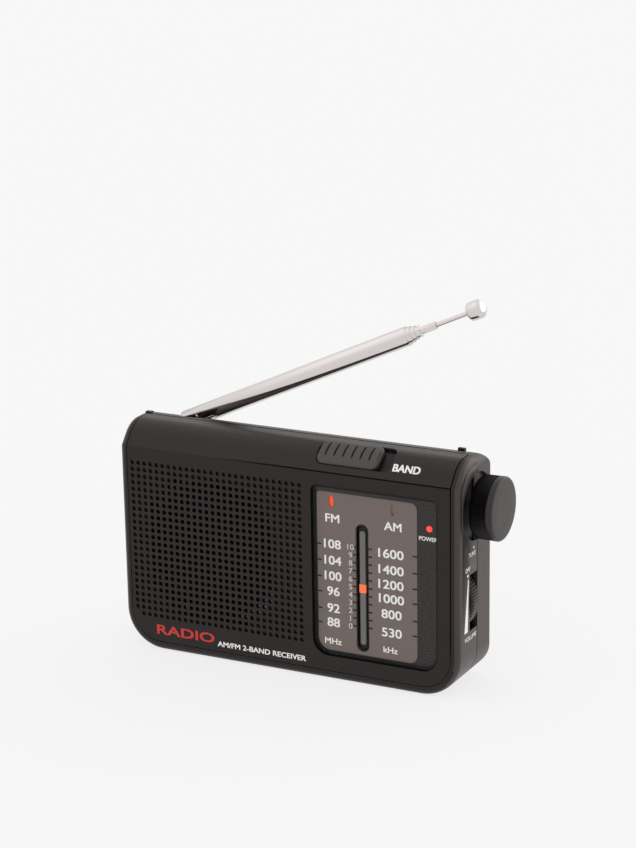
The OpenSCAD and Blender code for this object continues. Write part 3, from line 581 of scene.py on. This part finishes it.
def build_shell():
    skin = Skin(front)
    lip = 0.2
    skin.region(shell_chain(EDGE_R) + list(reversed(panel_chain(-lip))), lines=front.stops)
    edge = skin.rim(shell_chain, EDGE_R, 0, outwards=True, closed=False, steps=8)
    ledge = skin.rim(panel_chain, lip, LEDGE_DEPTH, closed=False, steps=3)
    skin.bridge(ledge, skin.add(panel_chain(LEDGE_W), LEDGE_DEPTH), closed=False)
    # the strip that runs back from the rolled edge round the foot, and its turned-in rear edge
    first = next(i for i, (x, v) in enumerate(shell_chain(0)) if v <= FOOT_R + 1e-6)
    foot = edge[first:len(edge) - first]
    around = [(skin.verts[i][0], skin.verts[i][2]) for i in foot]
    rear = skin.put([(x, BACK_Y, z) for x, z in around])
    skin.bridge(foot, rear, closed=False)
    skin.bridge(rear, skin.put([(x * 0.98, BACK_Y, 1.3 + z * 0.97) for x, z in around]), closed=False)
    build_side(skin, -1)
    build_side(skin, 1)
    looks = [LOOKS["case_plastic"], LOOKS["black_plastic"], LOOKS["side_plastic"]]
    thing = finish_mesh("shell_front", skin, looks, "case", ["front_shell"],
                        outward=(0, 0, -1))
    # Faces that look sideways take the lighter copy: painted light on both sides of the shell.
    for face in thing.data.polygons:
        if abs(face.normal.x) > 0.45 and face.material_index == 0:
            face.material_index = 2


build_shell()


def build_seam():
    """A black tongue between the two halves of the case, just inside the parting line: painted shade in the
    seam.
    """
    skin = Skin()
    inset, corner, margin = 0.4, 2.0, 0.3
    half, top, r = HALF_W - inset, TOP_Z - inset, FOOT_R - inset
    around = (arc(half - corner, top - corner, corner, 0, pi / 2, 6)
              + arc(-half + corner, top - corner, corner, pi / 2, pi, 6)
              + arc(-half + r, inset + r, r, pi, 1.5 * pi, 16)
              + arc(half - r, inset + r, r, 1.5 * pi, 2 * pi, 16))
    above_knob, below_knob = KNOB_Z + RECESS_R + margin, KNOB_Z - RECESS_R - margin
    above_wheel, below_wheel = SLOT_Z1 + 2 * margin, SLOT_Z0 - 2 * margin
    most = [(half, above_knob)] + around + [(half, below_wheel)]
    for chain in (most, [(half, above_wheel), (half, below_knob)]):
        fore, aft = [skin.put([(x, y, z) for x, z in chain]) for y in (PART_Y - 1.0, PART_Y + 0.4)]
        skin.bridge(fore, aft, closed=False)
    finish_mesh("seam_tongue", skin, LOOKS["black_plastic"], "case", weighted=False,
                outward=(0, 0, -1))


build_seam()


# ---------------------------------------------------------------- dial
def flat_at(y):
    """Lays a region out on the plane y, with depth running backwards."""
    return lambda x, z, d: (x, y + d, z)


LENS_GAP = 0.45
LENS_EDGE = 0.25
lens_edge = frame_loop(LENS_LOW.x + LENS_GAP, LENS_LOW.z + LENS_GAP,
                       LENS_HIGH.x - LENS_GAP, LENS_HIGH.z - LENS_GAP, 4.9, 1.75)
lens = Skin(flat_at(LENS_LOW.y))
lens.region(lens_edge(LENS_EDGE))
lens.rim(lens_edge, LENS_EDGE, LENS_HIGH.y - LENS_LOW.y, outwards=True)
finish_mesh("lens_window", lens, LOOKS["lens"], "case", ["dial_lens"], outward=(0, -1, 0))

POINTER_LOW = span("pointer")[0]
POINTER = middle("pointer")


def dial_strip(half, z0, z1, r):
    """A long rounded outline about the pointer's line."""
    return frame_loop(POINTER.x - half, z0, POINTER.x + half, z1, r, r)


dial_slot = dial_strip(1.85, 10.9, 51.7, 1.84)
dark_ring = dial_strip(2.2, 10.55, 52.05, 2.1)
track_base = dial_strip(1.3, 11.4, 51.2, 1.2)
track_bar = dial_strip(1.0, 12.7, 49.8, 0.94)

FLAG_Z, FLAG_HALF_X, FLAG_HALF_Z = 58.1, 0.66, 1.85
flag_fm, flag_am = [oval(x, FLAG_Z, FLAG_HALF_X, FLAG_HALF_Z) for x in (15.5, 36.3)]
LED_X, LED_Z, LED_R = middle("power_led").x - 0.6, middle("power_led").z - 0.25, 1.02
openings = [dial_slot, flag_fm, flag_am, disc_loop(LED_X, LED_Z, LED_R + 0.05, 32)]

# the dark plate, with a black outline that shows past the print's edge
OUTLINE = 0.5
FINE = 0.02
plate = Skin(flat_at(PLATE_Y))
plate.region(lens_edge(OUTLINE), [o(-FINE) for o in openings])
plate.tag = 1
plate.region(lens_edge(0), [lens_edge(OUTLINE)])
plate.tag = 0
for opening in openings:
    plate.rim(opening, FINE, 0.34 if opening is dial_slot else 0.15, steps=1)
finish_mesh("dial_plate", plate, [LOOKS["border_print"], LOOKS["black_plastic"]], "case",
            ["scale_plate"], outward=(0, -1, 0))

# the whole print sits a little to the left of its nominal place, and below it
SHIFT_X, SHIFT_Z = -0.76, -0.58


def field():
    """The light printed field, whose corners have radii of their own."""
    x0, z0, x1, z1 = 11.4 + SHIFT_X, 10.1 + SHIFT_Z, 45.1 + SHIFT_X, 61.6 + SHIFT_Z
    return (arc(x0 + 4, z0 + 4, 4, pi, 1.5 * pi) + arc(x1 - 2.7, z0 + 2.7, 2.7, 1.5 * pi, 2 * pi)
            + arc(x1 - 2.2, z1 - 2.2, 2.2, 0, pi / 2) + arc(x0 + 1.3, z1 - 1.3, 1.3, pi / 2, pi))


ink = Skin(flat_at(PLATE_Y - 0.02))
ink.region(field(), [dark_ring(0), flag_fm(-FINE), flag_am(-FINE)])
finish_mesh("dial_field", ink, LOOKS["scale_print"], "case", outward=(0, -1, 0),
            weighted=False)

# the raised bar that the pointer rides along, on its dark base in a dark well; the base and the well are
# black, painted shade in the slot
BASE_DEPTH, BAR_DEPTH, WELL_DEPTH = 0.65, 0.12, 1.3
BASE_EDGE, BAR_EDGE = 0.05, 0.35
track = Skin(flat_at(PLATE_Y))
track.rim(track_base, BASE_EDGE, WELL_DEPTH, lift=BASE_DEPTH, outwards=True, steps=1)
track.region(track_base(BASE_EDGE), [track_bar(0)], depth=BASE_DEPTH)
track.region(dial_slot(-0.1), [track_base(0)], depth=WELL_DEPTH)
track.tag = 1
track.rim(track_bar, BAR_EDGE, BASE_DEPTH, lift=BAR_DEPTH, outwards=True)
track.region(track_bar(BAR_EDGE), depth=BAR_DEPTH)
finish_mesh("track_bar", track, [LOOKS["black_plastic"], LOOKS["track_grey"]], "case",
            ["pointer_track"], outward=(0, -1, 0))

TAB_HALF_X, TAB_HALF_Z, TAB_EDGE = 1.1, 1.35, 0.09
tab = frame_loop(POINTER.x - TAB_HALF_X, POINTER.z - TAB_HALF_Z,
                 POINTER.x + TAB_HALF_X, POINTER.z + TAB_HALF_Z, 0.1, 0.1, 4)
flag = Skin(flat_at(POINTER_LOW.y))
flag.rim(tab, TAB_EDGE, 0.9, lift=-0.02, outwards=True, steps=3)
flag.region(tab(TAB_EDGE), depth=-0.02)
finish_mesh("pointer_tab", flag, LOOKS["orange_plastic"], BODY_OF["pointer"], ["pointer"],
            outward=(0, -1, 0))


# ---------------------------------------------------------------- lettering
CAP_HEIGHT = 0.729  # of a capital in the built-in font at size 1


def outlined(text, height):
    """A word as a flat mesh: list of points and faces, centred, with capitals of the given height."""
    curve = bpy.data.curves.new("word", "FONT")
    curve.body = text
    curve.align_x, curve.align_y = "LEFT", "BOTTOM_BASELINE"
    curve.resolution_u = 4
    thing = bpy.data.objects.new("word", curve)
    bpy.context.scene.collection.objects.link(thing)
    bpy.context.view_layer.update()
    mesh = bpy.data.meshes.new_from_object(thing.evaluated_get(bpy.context.evaluated_depsgraph_get()))
    points = [(v.co.x, v.co.y) for v in mesh.vertices]
    faces = [tuple(p.vertices) for p in mesh.polygons]
    bpy.data.objects.remove(thing)
    bpy.data.curves.remove(curve)
    bpy.data.meshes.remove(mesh)
    centre = (min(p[0] for p in points) + max(p[0] for p in points)) / 2
    k = height / CAP_HEIGHT
    return [((x - centre) * k, (y - CAP_HEIGHT / 2) * k) for x, y in points], faces


def facing(place):
    """The way that a surface looks where things are printed on it."""
    a, b, c = (Vector(place(*p)) for p in ((0, 30, 0), (1, 30, 0), (0, 31, 0)))
    return (b - a).cross(c - a)


def lettering(name, words, place, look):
    """Words as (text, x, v, height, stretch, bold) printed on a surface, as one piece.

    A bold word is struck several times, that far apart, each a hair above the last.
    """
    skin = Skin(place)
    for text, x, v, height, stretch, bold in words:
        points, faces = outlined(text, height)
        strikes = [(dx * bold, dy * bold) for dx in (-1, 0, 1) for dy in (-0.6, 0.6)]
        for k, (dx, dy) in enumerate(strikes):
            index = skin.add([(x + px * stretch + dx, v + py + dy) for px, py in points], -0.003 * k)
            for f in faces:
                skin.face(*[index[i] for i in f])
    finish_mesh(name, skin, look, "case", weighted=False, outward=facing(place))


PRINT_Y = PLATE_Y - 0.045
BIG, BOLD = 2.95, 0.095
words = [
    ("FM", 16.64, 53.35, 2.75, 1.12, BOLD), ("AM", 37.09, 53.35, 2.75, 1.1, BOLD),
    ("108", 16.54, 45.01, BIG, 1.1, BOLD), ("1600", 36.39, 44.53, BIG, 1.17, BOLD),
    ("104", 16.63, 39.71, BIG, 1.1, BOLD), ("1400", 36.41, 39.34, BIG, 1.17, BOLD),
    ("100", 16.62, 34.63, BIG, 1.1, BOLD), ("1200", 36.34, 34.56, BIG, 1.17, BOLD),
    ("96", 16.68, 29.65, BIG, 1.1, BOLD), ("1000", 36.47, 29.96, BIG, 1.17, BOLD),
    ("92", 16.66, 24.11, BIG, 1.1, BOLD), ("800", 36.47, 24.97, BIG, 1.15, BOLD),
    ("88", 16.62, 19.43, BIG, 1.1, BOLD), ("530", 36.52, 18.98, BIG, 1.15, BOLD),
    ("MHz", 16.38, 13.14, 2.05, 1.1, 0.06), ("kHz", 36.04, 13.24, 2.05, 1.08, 0.06),
    ("POWER", 48.85, 51.02, 1.35, 0.95, 0.04),
]
words = [(text, x + SHIFT_X, z + SHIFT_Z, *rest) for text, x, z, *rest in words]
lettering("dial_numbers", words, flat_at(PRINT_Y), LOOKS["white_print"])

# the steps from 10 down to 0, which lean a little to the left on their way down
STEPS, STEP_X, STEP_Z = 11, 22.75, 44.9
steps = [(str(STEPS - 1 - i), STEP_X - 0.03 * i + SHIFT_X, STEP_Z - 2.58 * i + SHIFT_Z, 1.85, 1.1, 0.035)
         for i in range(STEPS)]
lettering("dial_steps", steps, flat_at(PRINT_Y), LOOKS["pale_print"])

TICK_HALF = 0.24
TICK_Z, TICK_PITCH = 45.06, 2.577
ticks = Skin(flat_at(PRINT_Y))


def tick(x0, x1, z):
    z += SHIFT_Z
    ticks.region(frame_loop(x0 + SHIFT_X, z - TICK_HALF, x1 + SHIFT_X, z + TICK_HALF, 0.05, 0.05, 2)(0))


for i in range(STEPS):
    tick(23.3, 24.7, TICK_Z - TICK_PITCH * i)
    tick(28.6, 30.0, TICK_Z - TICK_PITCH * i)
for z in (44.56, 39.4, 34.05, 29.1, 23.6, 18.9):
    tick(11.42, 12.75, z)
for z in (44.76, 39.35, 34.3, 29.5, 23.9, 19.04):
    tick(43.6, 45.08, z)
finish_mesh("dial_ticks", ticks, LOOKS["grey_print"], "case", weighted=False,
            outward=(0, -1, 0))

INK_T = 0.03


def on_front(x, v, d):
    return front(x, v, d - INK_T)


def on_side(y, z, d):
    return (HALF_W + INK_T - d, y, z)


def print_on_case(name, words, place, look):
    lettering(name, words, place, LOOKS[look])


print_on_case("band_word", [("BAND", 40.45, front.v_at_y(-9.85), 2.5, 0.98, 0.12)], on_front, "white_print")
print_on_case("model_words", [("AM/FM 2-BAND RECEIVER", -9.1, 5.75, 1.75, 1.15, 0.07)], on_front,
              "white_print")
print_on_case("maker_mark", [("RADIO", -36.6, 7.3, 3.2, 1.6, 0.14)], on_front, "logo_print")
print_on_case("side_words", [
    ("OFF", -5.9, 40.4, 1.45, 1.0, 0.03), ("VOLUME", -3.8, 18.1, 1.45, 1.1, 0.03),
    ("TUNE", -2.7, 44.6, 1.4, 1.0, 0.03),
], on_side, "white_print")

# on the side, the tuning arrow, the off dot and the volume wedge
marks = Skin(on_side)
for mark in ([(-2.1, 46.1), (-0.8, 46.1), (-1.45, 47.0)], disc_loop(-5.8, 38.4, 0.5, 16)(0),
             [(-5.7, 37.2), (-8.3, 20.4), (-5.9, 20.4), (-5.2, 37.2)]):
    marks.face(*marks.add(mark, 0))
finish_mesh("side_marks", marks, LOOKS["white_print"], "case", weighted=False,
            outward=(1, 0, 0))


# ---------------------------------------------------------------- band slider
SLIDER_LOW, SLIDER_HIGH = span("band_slider")
SLIDER_GAP, SLIDER_EDGE, SLIDER_LIFT = 0.15, 0.6, -0.35
RIBS, RIB_X, RIB_PITCH = 6, 12.8, 2.95
RIB_HALF, RIB_V0, RIB_V1 = 0.2, front.v_at_y(-9.2), front.v_at_y(-4.6)

slider_edge = frame_loop(SLIDER_LOW.x, BAND_V0 + SLIDER_GAP, SLIDER_HIGH.x, BAND_V1 - SLIDER_GAP, 2.3, 2.6)
slider = Skin(front)
cuts = []
for i in range(RIBS):
    x = RIB_X + RIB_PITCH * i
    cut = frame_loop(x - RIB_HALF, RIB_V0, x + RIB_HALF, RIB_V1, 0.19, 0.19, 3)
    cuts.append(cut(-0.1))
    slider.rim(cut, 0.1, 0.1, lift=SLIDER_LIFT, steps=2, floor=0)
slider.region(slider_edge(SLIDER_EDGE), cuts, depth=SLIDER_LIFT, lines=front.stops)
slider.rim(slider_edge, SLIDER_EDGE, 1.3, lift=SLIDER_LIFT, outwards=True)
finish_mesh("slider_band", slider, LOOKS["slider_plastic"], BODY_OF["band_slider"],
            ["band_slider"], outward=(0, -1, 1))


# ---------------------------------------------------------------- turned pieces
def turned(origin, axis, up, rings, steps, radius=lambda r, k, a: r, tag=lambda k: 0):
    """Revolves (distance, radius) rings about an axis; radius() may shape each ring round its turn."""
    skin = Skin()
    origin, axis = Vector(origin), Vector(axis).normalized()
    side = axis.cross(Vector(up)).normalized()
    up = side.cross(axis)
    turns = [2 * pi * i / steps for i in range(steps)]
    last = None
    for k, (s, r) in enumerate(rings):
        skin.tag = tag(k)
        centre = origin + axis * s
        if r <= 0:
            ring = skin.put([centre])
        else:
            ring = skin.put([centre + (up * cos(a) + side * sin(a)) * radius(r, k, a) for a in turns])
        if last is not None:
            if len(last) == 1:
                for i in range(len(ring)):
                    skin.face(last[0], ring[(i + 1) % len(ring)], ring[i])
            elif len(ring) == 1:
                for i in range(len(last)):
                    skin.face(last[i], last[(i + 1) % len(last)], ring[0])
            else:
                skin.bridge(last, ring)
        last = ring
    return skin


LEFT_TO_RIGHT, FRONT_TO_REAR, UP = (1, 0, 0), (0, 1, 0), (0, 0, 1)

# the lamp: a low dome that looks out through the plate
lamp_rings = [(0, 0.0), (0, LED_R - 0.35), (0.04, LED_R - 0.15), (0.16, LED_R - 0.02), (0.3, LED_R),
              (1.2, LED_R)]
lamp = turned((LED_X, PLATE_Y - 0.06, LED_Z), FRONT_TO_REAR, UP, lamp_rings, 32)
finish_mesh("lamp_power", lamp, LOOKS["led_red"], "case", ["power_led"], outward=(0, -1, 0))

# the tuning knob: a chamfered inner end, a dark knurled band, and a plain collar with a flat face
KNOB_LOW, KNOB_HIGH = span("tune_knob")
KNOB_Y = middle("tune_knob").y
KNOB_R = (KNOB_HIGH.y - KNOB_LOW.y) / 2
K0, K1 = HALF_W + 0.95, KNOB_HIGH.x + 0.3
KNOB_KNURLS, KNURL_DEPTH, KNURL_SHAPE = 84, 0.5, 0.8
inner_end = [(K0, 0.0), (K0, KNOB_R - 1.2), (K0 + 0.05, KNOB_R - 0.9), (K0 + 0.35, KNOB_R - 0.42),
             (K0 + 0.7, KNOB_R - 0.3)]
knurled = [(K0 + 0.8, KNOB_R - 0.12), (K0 + 3.0, KNOB_R - 0.08), (K1 - 2.2, KNOB_R - 0.06)]
collar = [(K1 - 2.0, KNOB_R - 0.16), (K1 - 1.9, KNOB_R - 0.12), (K1 - 1.6, KNOB_R), (K1 - 0.75, KNOB_R),
          (K1 - 0.45, KNOB_R - 0.09), (K1 - 0.2, KNOB_R - 0.3), (K1 - 0.05, KNOB_R - 0.6),
          (K1, KNOB_R - 1.0), (K1, KNOB_R * 0.5), (K1, 0.0)]
knurled_rings = range(len(inner_end), len(inner_end) + len(knurled))


def knob_radius(r, k, a):
    if k in knurled_rings:
        return r - KNURL_DEPTH * abs(sin(KNOB_KNURLS * a / 2)) ** KNURL_SHAPE
    return r


knob = turned((0, KNOB_Y, KNOB_Z), LEFT_TO_RIGHT, UP, inner_end + knurled + collar, KNOB_KNURLS * 6,
              knob_radius, lambda k: int(k <= knurled_rings.stop))
finish_mesh("knob_tuning", knob, [LOOKS["knob_plastic"], LOOKS["knurl"]], BODY_OF["tune_knob"],
            ["tune_knob"], sharp=38, outward=(1, 0, 0))

# the volume wheel, which shows its rim at the side
WHEEL_LOW, WHEEL_HIGH = span("volume_wheel")
WHEEL = middle("volume_wheel")
WHEEL_R = (WHEEL_HIGH.x - WHEEL_LOW.x) / 2
W0, W1 = WHEEL_LOW.y, WHEEL_HIGH.y
WHEEL_KNURLS, WHEEL_KNURL_DEPTH = 72, 0.55
WHEEL_BORE, WHEEL_CHAMFER = 1.5, 1.3
wheel_rings = [(W0, WHEEL_BORE), (W0, WHEEL_R - WHEEL_CHAMFER), (W0 + 0.1, WHEEL_R - 0.9),
               (W0 + 0.5, WHEEL_R), (W1 - 0.5, WHEEL_R),
               (W1 - 0.1, WHEEL_R - 0.9), (W1, WHEEL_R - WHEEL_CHAMFER), (W1, WHEEL_BORE)]


def wheel_radius(r, k, a):
    if r == WHEEL_R:
        return r - WHEEL_KNURL_DEPTH * abs(sin(WHEEL_KNURLS * a / 2)) ** KNURL_SHAPE
    return r


wheel = turned((WHEEL.x, 0, WHEEL.z), FRONT_TO_REAR, UP, wheel_rings, WHEEL_KNURLS * 6, wheel_radius)
finish_mesh("wheel_volume", wheel, LOOKS["knob_plastic"], BODY_OF["volume_wheel"],
            ["volume_wheel"], sharp=38, outward=(0, -1, 0))


# ---------------------------------------------------------------- antenna
TILT = radians(24.35)
ALONG = (cos(TILT), 0, sin(TILT))
PIVOT = middle("antenna_pin")
TUBE_END = 81.5
TIP_S = TUBE_END + 21.4
ROD_S, ROD_R = 26, 0.75


def antenna_piece(name, rings, steps, node, sharp):
    """A turned piece on the antenna's own line; its rings' distances are from the pivot."""
    skin = turned(PIVOT, ALONG, FRONT_TO_REAR, rings, steps)
    finish_mesh(name, skin, LOOKS["chrome"], BODY_OF[node], [node], sharp=sharp, weighted=False)


def section(name, s0, s1, r, inner, node, roll=0.25):
    """A tube with a mouth rolled in to the next one."""
    rings = [(s0, inner), (s0, r - 0.15), (s0 + 0.15, r), (s1 - roll * 2.2, r), (s1 - roll * 1.6, r - 0.14),
             (s1 - roll, r - 0.16), (s1 - roll * 0.45, r - 0.24), (s1, inner + 0.16),
             (s1 - 0.02, inner + 0.05), (s1 - 0.3, inner)]
    antenna_piece(name, rings, 96, node, 60)


section("mast_outer", -5.6, TUBE_END, 3.05, 2.7, "antenna_outer")
section("mast_2", 11, TUBE_END + 1.5, 2.65, 2.3, "antenna_tube_2", 0.2)
section("mast_3", 13, TUBE_END + 3.0, 2.25, 1.9, "antenna_tube_3", 0.2)
section("mast_4", 15, TUBE_END + 4.5, 1.85, 1.25, "antenna_tube_4", 0.2)
section("mast_5", 22, TUBE_END + 10, 1.2, 0.8, "antenna_tube_5", 0.15)
tip = [(0, ROD_R), (0, 1.7), (0.12, 2.1), (0.6, 2.72), (1.1, 2.95), (1.5, 3.0), (3.7, 3.0), (4.2, 2.92),
       (4.7, 2.6), (5.1, 2.1), (5.35, 1.5), (5.4, 0.0)]
antenna_piece("mast_tip", [(TIP_S + s, r) for s, r in tip], 96, "antenna_tip", 50)
rod = [(ROD_S, 0.0), (ROD_S, ROD_R - 0.05), (ROD_S + 0.1, ROD_R), (TIP_S + 0.2, ROD_R)]
antenna_piece("mast_rod", rod, 48, "antenna_rod", 50)


# ---------------------------------------------------------------- stage, light and camera
FLOOR_HALF = 9000
ROOM, DARKEST = 0.95, 0.02
WALL = ((0.62, 0.76, 0.1), 5, 1.5)      # a bright wall behind on the right: direction, narrowness, strength
LAMP = ((-0.5, -0.25, 0.83), 4, 0.35)   # a soft lamp above on the left

CAMERA_AT = (348.25, -663.73, 293.41)
AZIMUTH, ELEVATION, ROLL = radians(27.33), radians(17.78), radians(-0.96)
SENSOR, FOCAL_LENGTH, SHIFT_UP = 36, 107.066, 0.08962


def floor():
    corners = [(x, y, 0) for x, y in ((-FLOOR_HALF, -FLOOR_HALF), (FLOOR_HALF, -FLOOR_HALF),
                                      (FLOOR_HALF, FLOOR_HALF), (-FLOOR_HALF, FLOOR_HALF))]
    mesh = plain_mesh("floor", corners, [(0, 1, 2, 3)])
    paper = material("paper_sweep", (0.14, 0.14, 0.14), 0.9, bump=0, tint=0.0, Specular_IOR_Level=0.0,
                     **glow((1, 1, 1), 0.775))
    mesh.materials.append(paper)
    thing = bpy.data.objects.new("floor", mesh)
    bpy.context.scene.collection.objects.link(thing)


def studio():
    """A pale room with a bright wall and a soft lamp."""
    world = bpy.data.worlds.new("studio")
    bpy.context.scene.world = world
    world.use_nodes = True
    nodes, links = world.node_tree.nodes, world.node_tree.links
    where = nodes.new("ShaderNodeTexCoord")

    def calc(kind, a, b):
        node = nodes.new("ShaderNodeMath")
        node.operation = kind
        for socket, value in zip(node.inputs, (a, b)):
            if isinstance(value, (int, float)):
                socket.default_value = value
            else:
                links.new(value, socket)
        return node.outputs[0]

    def lobe(direction, power, gain):
        dot = nodes.new("ShaderNodeVectorMath")
        dot.operation = "DOT_PRODUCT"
        dot.inputs[1].default_value = Vector(direction).normalized()
        links.new(where.outputs["Generated"], dot.inputs[0])
        return calc("MULTIPLY", calc("POWER", calc("MAXIMUM", dot.outputs["Value"], 0.0), power), gain)

    level = calc("ADD", ROOM, lobe(*WALL))
    level = calc("ADD", level, lobe(*LAMP))
    level = calc("MAXIMUM", level, DARKEST)
    back = nodes["Background"]
    back.inputs["Color"].default_value = (1, 0.985, 0.975, 1)
    links.new(level, back.inputs["Strength"])


def camera():
    back = Vector((sin(AZIMUTH) * cos(ELEVATION), -cos(AZIMUTH) * cos(ELEVATION), sin(ELEVATION)))
    level = Vector((cos(AZIMUTH), sin(AZIMUTH), 0))
    raised = back.cross(level)
    right = level * cos(ROLL) + raised * sin(ROLL)
    up = raised * cos(ROLL) - level * sin(ROLL)
    data = bpy.data.cameras.new("camera")
    thing = bpy.data.objects.new("camera", data)
    bpy.context.scene.collection.objects.link(thing)
    thing.matrix_world = Matrix((right, up, back)).transposed().to_4x4()
    thing.location = Vector(CAMERA_AT) * MM
    data.sensor_width = SENSOR
    data.lens = FOCAL_LENGTH
    data.shift_y = SHIFT_UP
    data.clip_start = 0.01
    bpy.context.scene.camera = thing


floor()
studio()
camera()
bpy.context.scene.view_settings.view_transform = "Standard"
